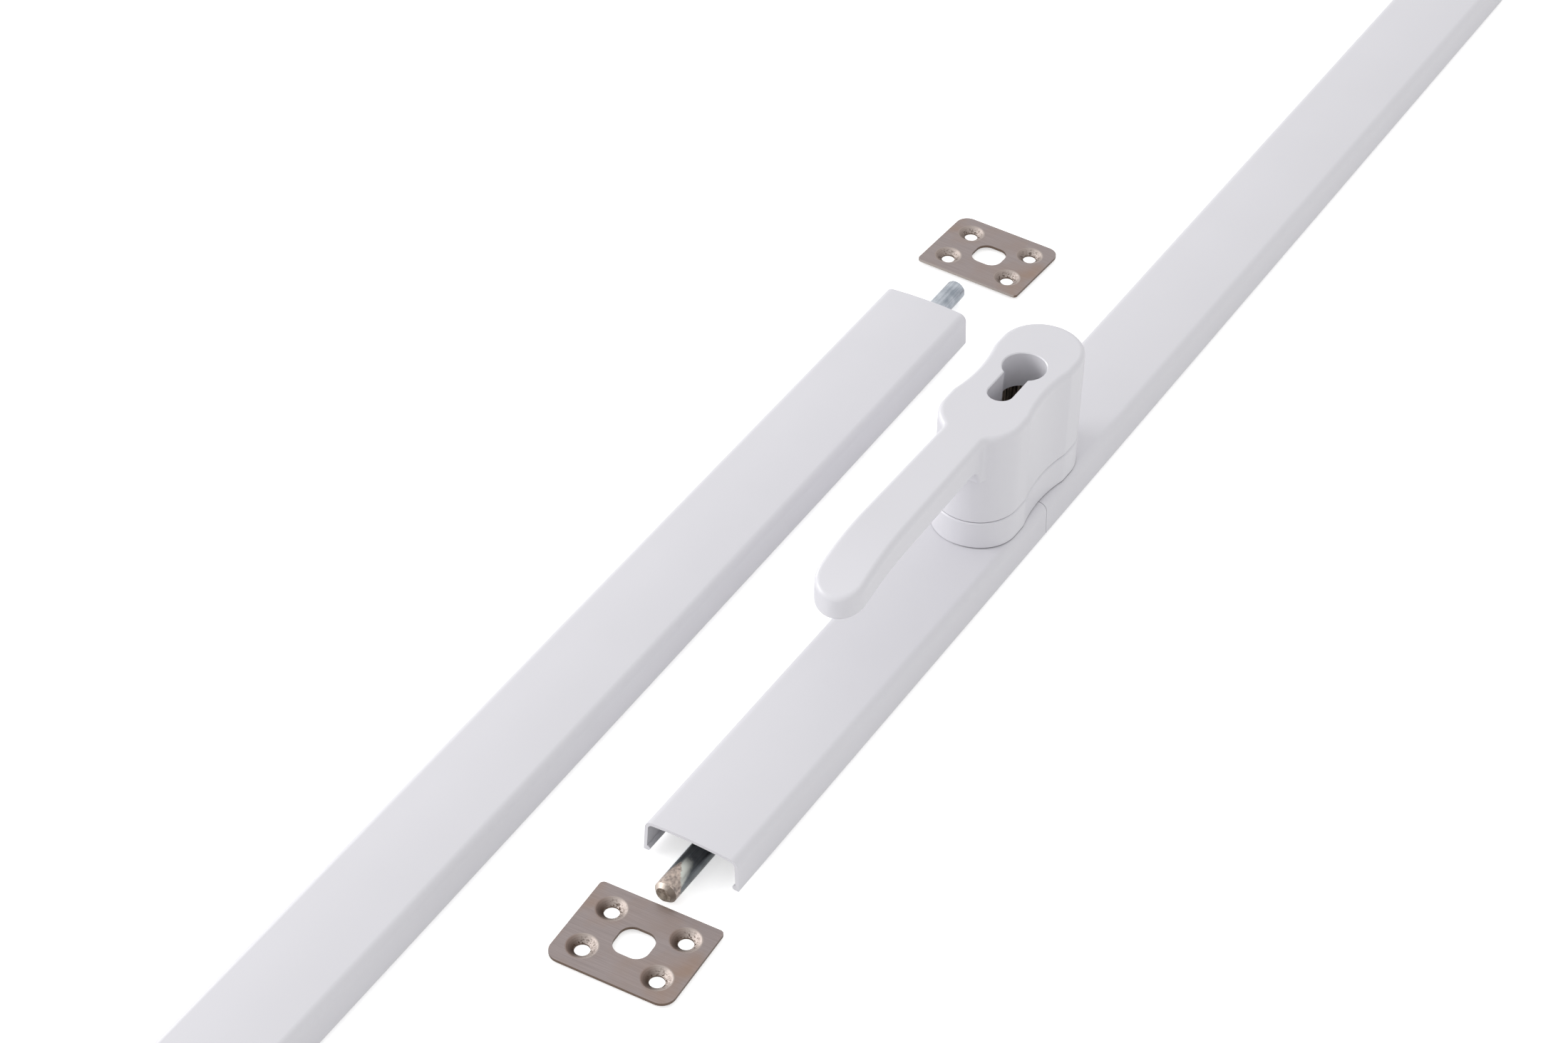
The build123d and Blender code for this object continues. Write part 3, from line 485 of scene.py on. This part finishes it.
def plain_metal(name, light, dark, roughness, grain_mm):
    """Plated or cast metal out of sight: two tones in small patches, with a fine grain in its gloss."""
    finish, tree, shader = new_finish(name)
    grain = noise(tree, object_place(tree), grain_mm * MM, 3.0)
    feed(tree, shader, {
        "Base Color": blend(tree, fade(tree, grain, 0.35, 0.65), dark, light), "Metallic": 1.0,
        "Roughness": fade(tree, grain, 0.3, 0.7, roughness + 0.06, roughness - 0.06)})
    emboss(tree, shader, grain, 0.15, 0.02 * MM)
    return finish


def moulded_acetal(name, colour, roughness):
    """Injection-moulded acetal: waxy and even, with the fine spark-eroded grain of its mould."""
    grain_width, flow_width = 0.4 * MM, 12 * MM
    finish, tree, shader = new_finish(name)
    place = object_place(tree)
    flow = fade(tree, noise(tree, place, flow_width, 1.0), 0.3, 0.7, 0.9, 1.0)
    feed(tree, shader, {"Base Color": tinted(tree, colour, flow), "Roughness": roughness, "IOR": 1.48})
    emboss(tree, shader, noise(tree, place, grain_width, 2.0), 0.2, 0.02 * MM)
    return finish


# Covers, handle and plinth


class CoatSizes(bpy.types.PropertyGroup):
    """Powder coat of the covers, the plinth and the handle."""

    cover_colour: StringProperty(
        name="Cover colour", description="sRGB hex of the covers", default="#DDDCE1")
    handle_colour: StringProperty(
        name="Handle colour", description="sRGB hex of the handle", default="#DDDCE1")
    cavity_colour: StringProperty(
        name="Cavity colour", description="sRGB hex of the raw casting inside the head", default="#D9C9B8")
    cover_roughness: FloatProperty(name="Cover roughness", description="Satin of the covers", default=0.42)
    handle_roughness: FloatProperty(name="Handle roughness", description="Satin of the handle", default=0.3)
    peel: FloatProperty(name="Orange peel", description="Width of one ripple in the coat, in mm", default=0.8)
    crown: FloatProperty(
        name="Crown", description="Radius of the covers' crown", unit="LENGTH", default=0.1877)
    joint: FloatProperty(
        name="Joint", description="Height of the covers' top above the door", unit="LENGTH", default=0.0171)
    roof: FloatProperty(
        name="Cavity roof", description="Height of the head's cavity above the door", unit="LENGTH",
        default=0.0549)
    cavity_side: FloatProperty(
        name="Cavity side", description="Half of the raw cavity's width", unit="LENGTH", default=0.0123)
    cavity_middle: FloatProperty(
        name="Cavity middle", description="Y of the raw cavity's middle", unit="LENGTH", default=0.010)
    cavity_end: FloatProperty(
        name="Cavity end", description="Half of the raw cavity's length", unit="LENGTH", default=0.024)


class CREMONE_OT_covers(bpy.types.Operator):
    """Coat the three covers"""

    bl_idname = "cremone.covers"
    bl_label = "Covers"

    def execute(self, context):
        sizes = context.scene.cremone_coat
        dress(["lower_cover", "upper_cover", "head_cover"],
              powder_coat("powder_coat_cover", sizes.cover_colour, sizes.cover_roughness, sizes.peel))
        return {"FINISHED"}


class CREMONE_OT_handle(bpy.types.Operator):
    """Coat the handle and its plinth, and leave the cavity under the cylinder hole raw"""

    bl_idname = "cremone.handle"
    bl_label = "Handle and plinth"

    def execute(self, context):
        sizes = context.scene.cremone_coat
        base = powder_coat("powder_coat_plinth", sizes.handle_colour, sizes.handle_roughness, sizes.peel)
        self.paint_joint_shade(base, sizes)
        dress(["plinth"], base)
        coat = powder_coat("powder_coat_handle", sizes.handle_colour, sizes.handle_roughness, sizes.peel)
        self.leave_cavity_raw(coat, sizes)
        dress(["handle"], coat)
        return {"FINISHED"}

    def paint_joint_shade(self, coat, sizes):
        """Painted shade in the joint of plinth and cover, where z + x * x / (2 * crown) is near the cover's
        top.

        The painted shade is darkest on the right of the plinth and fades out towards its left.
        """
        shade_top, shade_full = 0.55 * MM, 0.35 * MM
        left, right = -4 * MM, 7 * MM
        tree, shader, painted = present_coat(coat)
        axes = split(tree, object_place(tree))
        above = maths(tree, "MULTIPLY", axes["X"], axes["X"])
        above = maths(tree, "MULTIPLY_ADD", above, 0.5 / sizes.crown, axes["Z"])
        low = fade(tree, above, sizes.joint + shade_top, sizes.joint + shade_full)
        # painted shade: the joint is painted a darker grey, strongest on the right
        joint_shade = maths(tree, "MULTIPLY", low, fade(tree, axes["X"], left, right, 0.05, 1.0))
        feed(tree, shader, {"Base Color": blend(tree, joint_shade, painted, "#77767C")})

    def leave_cavity_raw(self, coat, sizes):
        """Raw die-cast metal with dark vertical streaks inside the head.

        It stays where |x| < cavity_side, |y - cavity_middle| < cavity_end and z < roof.
        """
        streak_width, streak_length = 0.9 * MM, 12 * MM
        tree, shader, painted = present_coat(coat)
        place = object_place(tree)
        axes = split(tree, place)
        side = maths(tree, "LESS_THAN", maths(tree, "ABSOLUTE", axes["X"]), sizes.cavity_side)
        end = maths(tree, "ABSOLUTE", maths(tree, "SUBTRACT", axes["Y"], sizes.cavity_middle))
        end = maths(tree, "LESS_THAN", end, sizes.cavity_end)
        low = maths(tree, "LESS_THAN", axes["Z"], sizes.roof)
        inside = maths(tree, "MULTIPLY", maths(tree, "MULTIPLY", side, end), low)
        dark_streaks = fade(tree, streaks(tree, place, (streak_width, streak_width, streak_length)), 0.35, 0.6)
        raw = blend(tree, dark_streaks, "#3A2E28", sizes.cavity_colour)
        feed(tree, shader, {"Base Color": blend(tree, inside, painted, raw)})


# Strike plates


class StrikeSizes(bpy.types.PropertyGroup):
    """Finish of the strike plates."""

    colour: StringProperty(name="Colour", description="sRGB hex of the ground face", default="#9D9290")
    hole_along: FloatProperty(
        name="Hole along", description="Half the hole spacing along the plate", unit="LENGTH", default=0.015)
    hole_across: FloatProperty(
        name="Hole across", description="Half the hole spacing across the plate", unit="LENGTH",
        default=0.010)
    rim_radius: FloatProperty(
        name="Rim radius", description="Radius of a countersink's rim", unit="LENGTH", default=0.0062)
    half_height: FloatProperty(
        name="Half height", description="Half of a plate's short side", unit="LENGTH", default=0.020)
    foot_stained: FloatProperty(
        name="Foot cone shade", description="How brown the foot plate's countersinks are", default=1.0)
    head_stained: FloatProperty(
        name="Head cone shade", description="How brown the head plate's countersinks are", default=0.45)
    foot_place: FloatVectorProperty(
        name="Foot plate", description="Centre of the foot plate", unit="LENGTH", size=2,
        default=(0.0025, -0.2714))
    foot_turn: FloatProperty(
        name="Foot turn", description="Turn of the foot plate", subtype="ANGLE", default=0.049742)
    head_place: FloatVectorProperty(
        name="Head plate", description="Centre of the head plate", unit="LENGTH", size=2,
        default=(-0.0899, 0.1537))
    head_turn: FloatProperty(
        name="Head turn", description="Turn of the head plate", subtype="ANGLE", default=-0.030718)


class CREMONE_OT_strikes(bpy.types.Operator):
    """Grind the two strike plates"""

    bl_idname = "cremone.strikes"
    bl_label = "Strike plates"

    def execute(self, context):
        sizes = context.scene.cremone_strike
        dress(["foot_strike_plate"], ground_stainless(
            "ground_stainless_foot", sizes.foot_place, sizes.foot_turn, sizes.half_height,
            sizes.foot_stained, sizes))
        dress(["head_strike_plate"], ground_stainless(
            "ground_stainless_head", sizes.head_place, sizes.head_turn, -sizes.half_height,
            sizes.head_stained, sizes))
        return {"FINISHED"}


# Rods


class RodSizes(bpy.types.PropertyGroup):
    """Places of the rods, which their finish follows."""

    height: FloatProperty(
        name="Axis height", description="Height of the rods' axis above the door", unit="LENGTH",
        default=0.0052)
    head_offset: FloatProperty(
        name="Head offset", description="Where the head length's axis crosses Y = 0", unit="LENGTH",
        default=-0.08665)
    head_skew: FloatProperty(
        name="Head skew", description="Turn of the head length", subtype="ANGLE", default=0.012741)
    foot_tip: FloatProperty(
        name="Foot tip", description="Y of the foot rod's end", unit="LENGTH", default=-0.2491)
    rub_offset: FloatProperty(
        name="Rub offset", description="How far from the foot rod's axis the point of its rub lies",
        unit="LENGTH", default=-0.0012)
    head_tip: FloatProperty(
        name="Head tip", description="Place of the head rod's end along its length", unit="LENGTH",
        default=0.1214)


class CREMONE_OT_rods(bpy.types.Operator):
    """Plate the three rods"""

    bl_idname = "cremone.rods"
    bl_label = "Rods"

    def execute(self, context):
        sizes = context.scene.cremone_rod
        axis = (0.0, 0.0, sizes.height)
        head_axis = (sizes.head_offset, 0.0, sizes.height)
        foot_tip = (sizes.rub_offset, sizes.foot_tip, 0.0)
        head_tip = (0.0, sizes.head_tip, 0.0)
        dress(["lower_rod"], zinc_bar("zinc_foot_rod", axis, 0.0, foot_tip, "#7E8386", "#64676A", 1.0))
        dress(["upper_rod"], zinc_bar(
            "zinc_upper_rod", axis, 0.0, (0.0, 0.0, 0.0), "#8D989E", "#4E575C", 0.0))
        dress(["head_rod"], zinc_bar(
            "zinc_head_rod", head_axis, sizes.head_skew, head_tip, "#C4C9D0", "#9097A0", 0.0))
        return {"FINISHED"}


# Gearbox, guides and lock


class WorksSizes(bpy.types.PropertyGroup):
    """Finishes of the pieces inside."""

    steel: StringProperty(name="Steel", description="sRGB hex of plated steel", default="#B9BCC0")
    casting: StringProperty(name="Casting", description="sRGB hex of the gear housing", default="#9B9C9E")
    guide: StringProperty(name="Guide", description="sRGB hex of the rod guides", default="#26272A")
    bearing: StringProperty(name="Bearing", description="sRGB hex of bush and washer", default="#DAD6CB")


class CREMONE_OT_works(bpy.types.Operator):
    """Finish the gearbox, spindle, racks, pins and rings"""

    bl_idname = "cremone.works"
    bl_label = "Gearbox"

    def execute(self, context):
        sizes = context.scene.cremone_works
        dress(["base_plate", "drive_spindle", "pinion", "lower_rack", "upper_rack", "lower_cross_pin",
               "upper_cross_pin", "lock_pin", "retaining_ring"],
              plain_metal("zinc_plated_steel", sizes.steel, "#8F9499", 0.34, 1.5))
        dress(["gear_housing"], plain_metal("zinc_die_casting", sizes.casting, "#76777A", 0.5, 0.6))
        dress(["spindle_bush", "friction_washer"], moulded_acetal("natural_acetal", sizes.bearing, 0.45))
        return {"FINISHED"}


class CREMONE_OT_guides(bpy.types.Operator):
    """Mould the eight rod guides"""

    bl_idname = "cremone.guides"
    bl_label = "Rod guides"

    def execute(self, context):
        sizes = context.scene.cremone_works
        dress([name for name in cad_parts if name.endswith("_guide")],
              moulded_acetal("black_acetal", sizes.guide, 0.5))
        return {"FINISHED"}


# Threads and springs


def surface_piece(name, grids, body, finish, replaced):
    """One smooth closed mesh of equal grids of points, rows by columns, that stands for a solid.

    The columns join up. The end rows of each grid are one point each: their copies are merged, and all
    faces are turned outwards.
    """
    rows, columns, _ = grids[0].shape
    row, column = np.meshgrid(np.arange(rows - 1), np.arange(columns), indexing="ij")
    after = (column + 1) % columns
    quads = np.stack((row * columns + column, (row + 1) * columns + column,
                      (row + 1) * columns + after, row * columns + after), axis=-1).reshape(-1, 4)
    faces = np.concatenate([quads + rows * columns * index for index in range(len(grids))])
    points = np.concatenate(grids).reshape(-1, 3)
    mesh = bpy.data.meshes.new(name)
    mesh.from_pydata(points.tolist(), [], faces.tolist())
    mesh.materials.append(finish)
    mesh.polygons.foreach_set("use_smooth", np.ones(len(mesh.polygons), dtype=bool))
    shell = bmesh.new()
    shell.from_mesh(mesh)
    bmesh.ops.remove_doubles(shell, verts=shell.verts, dist=1e-7)
    bmesh.ops.recalc_face_normals(shell, faces=shell.faces)
    shell.to_mesh(mesh)
    shell.free()
    piece = bpy.data.objects.new(name, mesh)
    bpy.context.scene.collection.objects.link(piece)
    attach(piece, body)
    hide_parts(replaced)
    return piece


def helix_screw(radius, length, pitch, columns=32):
    """Screw that points down -Z, as rows of rings from the centre of its flat head to its tip.

    A ring at depth v has radius r(v) - groove * ridge, where ridge runs from 0 on a crest to 1 in a groove
    and is a triangle wave of v / pitch - angle / (2 pi). A cross recess lowers the head by the recess depth
    where the nearer of |x|, |y| is under its half width and the farther one under its arm.
    """
    head_radius, groove = 1.9 * radius, 0.16 * radius
    half_width, arm, recess_depth = 0.28 * radius, 1.1 * radius, 0.75 * radius
    angle = np.linspace(0, 2 * math.pi, columns, endpoint=False)
    crown = np.linspace(0, head_radius, 12)
    cone = head_radius - radius
    shank = np.arange(0, length - cone - radius, pitch / 6) + cone
    nose = np.linspace(0, 1, 5)
    ring = np.concatenate((crown, np.full(shank.size, radius), radius * (1 - nose)))
    down = np.concatenate((np.zeros(crown.size), shank, length - radius + radius * nose))
    ring, down = ring[:, None], down[:, None]
    phase = (down / pitch - angle / (2 * math.pi)) % 1.0
    fading = np.clip((down - cone) / pitch, 0, 1) * np.clip((length - down) / radius, 0, 1)
    cut = ring - groove * 2 * np.abs(phase - 0.5) * fading * (ring > 0)
    x, y = cut * np.cos(angle), cut * np.sin(angle)
    near, far = np.minimum(np.abs(x), np.abs(y)), np.maximum(np.abs(x), np.abs(y))
    slot = np.clip((half_width - near) / (0.3 * half_width), 0, 1)
    cross = slot * np.clip((arm - far) / (0.3 * arm), 0, 1)
    z = -down - np.where(down > 0, 0.0, recess_depth * cross)
    return np.stack((x, y, z + 0 * x), axis=-1)


def coil(radius, wire, turns, low, high, centre, flat_turns=0.75):
    """Tube round a helix whose first and last turns lie flat, as rows of rings along the wire.

    Height goes from low to high evenly with the turn number past the flat ends, and each flat end climbs by
    two radii of the wire, so that its turn doesn't cut into itself.
    """
    steps, sides = 40, 12
    along = np.linspace(0, 1, int(turns * steps) + 1)
    turn = along * turns
    rise = np.clip((turn - flat_turns) / (turns - 2 * flat_turns), 0, 1)
    climb = 2 * wire * (
        np.clip(turn / flat_turns, 0, 1) + np.clip((turn - turns + flat_turns) / flat_turns, 0, 1))
    height = low + wire + climb + (high - low - 6 * wire) * rise
    angle = 2 * math.pi * turn
    line = np.stack((centre[0] + radius * np.cos(angle), centre[1] + radius * np.sin(angle), height), axis=-1)
    way = np.gradient(line, axis=0)
    way /= np.linalg.norm(way, axis=1, keepdims=True)
    out = np.stack((np.cos(angle), np.sin(angle), 0 * angle), axis=-1)
    over = np.cross(way, out)
    around = np.linspace(0, 2 * math.pi, sides, endpoint=False)
    ring = out[:, None] * np.cos(around)[None, :, None] + over[:, None] * np.sin(around)[None, :, None]
    tube = line[:, None] + wire * ring
    first, last = np.repeat(line[:1, None], sides, axis=1), np.repeat(line[-1:, None], sides, axis=1)
    return np.concatenate((first, tube, last))


class ThreadSizes(bpy.types.PropertyGroup):
    """Threads of the screws and of the joining stud, and the lock spring."""

    pitch: FloatProperty(
        name="Pitch", description="Thread pitch of the screws", unit="LENGTH", default=0.0007)
    stud_pitch: FloatProperty(
        name="Stud pitch", description="Pitch of the M6 stud", unit="LENGTH", default=0.001)
    stud_depth: FloatProperty(
        name="Stud depth", description="Depth of its thread", unit="LENGTH", default=0.00055)
    stud_bevel: FloatProperty(
        name="Stud bevel", description="Bevel at the stud's ends", unit="LENGTH", default=0.0005)
    stud_flat: FloatProperty(
        name="Stud flat", description="How much smaller the stud's flat ends are", unit="LENGTH",
        default=0.0006)
    spring_turns: IntProperty(
        name="Spring turns", description="Turns of the lock spring", default=5, min=3)
    wire: FloatProperty(
        name="Wire", description="Radius of the spring's wire", unit="LENGTH", default=0.00035)
    press: FloatProperty(
        name="Press", description="How far the lock pin goes down", unit="LENGTH", default=0.004)


# name of the solid: radius, length, height of the head's flat, places, whether it points up, body
SCREWS = {
    "handle_screws": (
        0.00175, 0.014, 0.02975, ((0, -0.028), (-0.008, 0.0302), (0.008, 0.0302)), True, "lever"),
    "plinth_screws": (
        0.00175, 0.019, 0.02945, ((-0.0085, -0.026), (-0.0085, 0.026), (0.0085, -0.026), (0.0085, 0.026)),
        False, "base"),
    "housing_screws": (0.0015, 0.008, 0.0, ((0.013, 0.033), (-0.013, -0.033)), True, "base"),
}


class CREMONE_OT_screws(bpy.types.Operator):
    """Cut threads and cross recesses in the screws and a thread in the joining stud"""

    bl_idname = "cremone.screws"
    bl_label = "Screws and stud"

    def execute(self, context):
        sizes = context.scene.cremone_thread
        steel = plain_metal("bright_zinc_screws", "#C4C7CB", "#9EA3A8", 0.3, 1.0)
        for name, (radius, length, height, places, points_up, body) in SCREWS.items():
            # a screw that points up is turned half round about X
            flip = np.array((1.0, -1.0, -1.0)) if points_up else np.ones(3)
            screw = helix_screw(radius, length, sizes.pitch) * flip
            copies = [screw + np.array((*place, height)) for place in places]
            surface_piece(name + "_threaded", copies, body, steel, name)
        self.stud(sizes, steel)
        return {"FINISHED"}

    def stud(self, sizes, steel):
        """Threaded bar along Y, with bevelled ends: rows of rings from one end's centre to the other's.

        The thread is a triangle wave of v / pitch - angle / (2 pi) at v along the bar, as on the screws.
        """
        columns = 40
        low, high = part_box("joining_stud")
        centre = (low + high) / 2
        radius = (high[0] - low[0]) / 2
        length = high[1] - low[1]
        angle = np.linspace(0, 2 * math.pi, columns, endpoint=False)
        along = np.arange(0, length, sizes.stud_pitch / 8)
        ring = np.minimum(radius, radius - sizes.stud_bevel + np.minimum(along, length - along))
        ring[0] = ring[-1] = radius - sizes.stud_flat
        phase = (along[:, None] / sizes.stud_pitch - angle / (2 * math.pi)) % 1.0
        cut = np.minimum(ring[:, None], radius - sizes.stud_depth * 2 * np.abs(phase - 0.5))
        points = np.stack((centre[0] + cut * np.cos(angle), low[1] + along[:, None] + 0 * cut,
                           centre[2] + cut * np.sin(angle)), axis=-1)
        first = np.broadcast_to((centre[0], low[1], centre[2]), (1, columns, 3))
        last = np.broadcast_to((centre[0], high[1], centre[2]), (1, columns, 3))
        points = np.concatenate((first, points, last))
        surface_piece("stud_threaded", [points], "upper_bolt", steel, "joining_stud")


class CREMONE_OT_spring(bpy.types.Operator):
    """Wind the lock spring with flat end turns"""

    bl_idname = "cremone.spring"
    bl_label = "Lock spring"

    def execute(self, context):
        sizes = context.scene.cremone_thread
        low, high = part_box("lock_spring")
        centre = ((low[0] + high[0]) / 2, (low[1] + high[1]) / 2)
        radius = (high[0] - low[0]) / 2 - sizes.wire
        points = coil(radius, sizes.wire, sizes.spring_turns, low[2], high[2], centre)
        steel = plain_metal("spring_wire", "#C9CCD0", "#8E9296", 0.25, 1.0)
        piece = surface_piece("lock_spring_wound", [points], "lever", steel, "lock_spring")
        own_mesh(piece)
        return {"FINISHED"}


# Panel and registration


class CREMONE_PT_panel(bpy.types.Panel):
    """Lists the steps and their sizes"""

    bl_label = "Cremone bolt"
    bl_idname = "CREMONE_PT_panel"
    bl_space_type = "VIEW_3D"
    bl_region_type = "UI"
    bl_category = "Cremone bolt"

    def draw(self, context):
        for step in STEPS:
            self.layout.operator(step.bl_idname)
        for group_name, group in GROUPS.items():
            box = self.layout.box()
            box.label(text=group.__doc__)
            for size_name in group.__annotations__:
                box.prop(getattr(context.scene, group_name), size_name)


GROUPS = {
    "cremone_stage": StageSizes,
    "cremone_coat": CoatSizes,
    "cremone_strike": StrikeSizes,
    "cremone_rod": RodSizes,
    "cremone_works": WorksSizes,
    "cremone_thread": ThreadSizes,
}
STEPS = (
    CREMONE_OT_stage, CREMONE_OT_covers, CREMONE_OT_handle, CREMONE_OT_strikes, CREMONE_OT_rods,
    CREMONE_OT_works, CREMONE_OT_guides, CREMONE_OT_screws, CREMONE_OT_spring,
)


def register():
    for group_name, group in GROUPS.items():
        bpy.utils.register_class(group)
        setattr(bpy.types.Scene, group_name, PointerProperty(type=group))
    for step in (*STEPS, CREMONE_PT_panel):
        bpy.utils.register_class(step)


def unregister():
    for step in (*STEPS, CREMONE_PT_panel):
        bpy.utils.unregister_class(step)
    for group_name, group in GROUPS.items():
        delattr(bpy.types.Scene, group_name)
        bpy.utils.unregister_class(group)


def main():
    register()
    for step in STEPS:
        name = step.bl_idname.split(".")[1]
        getattr(bpy.ops.cremone, name)()


if __name__ == "__main__":
    main()
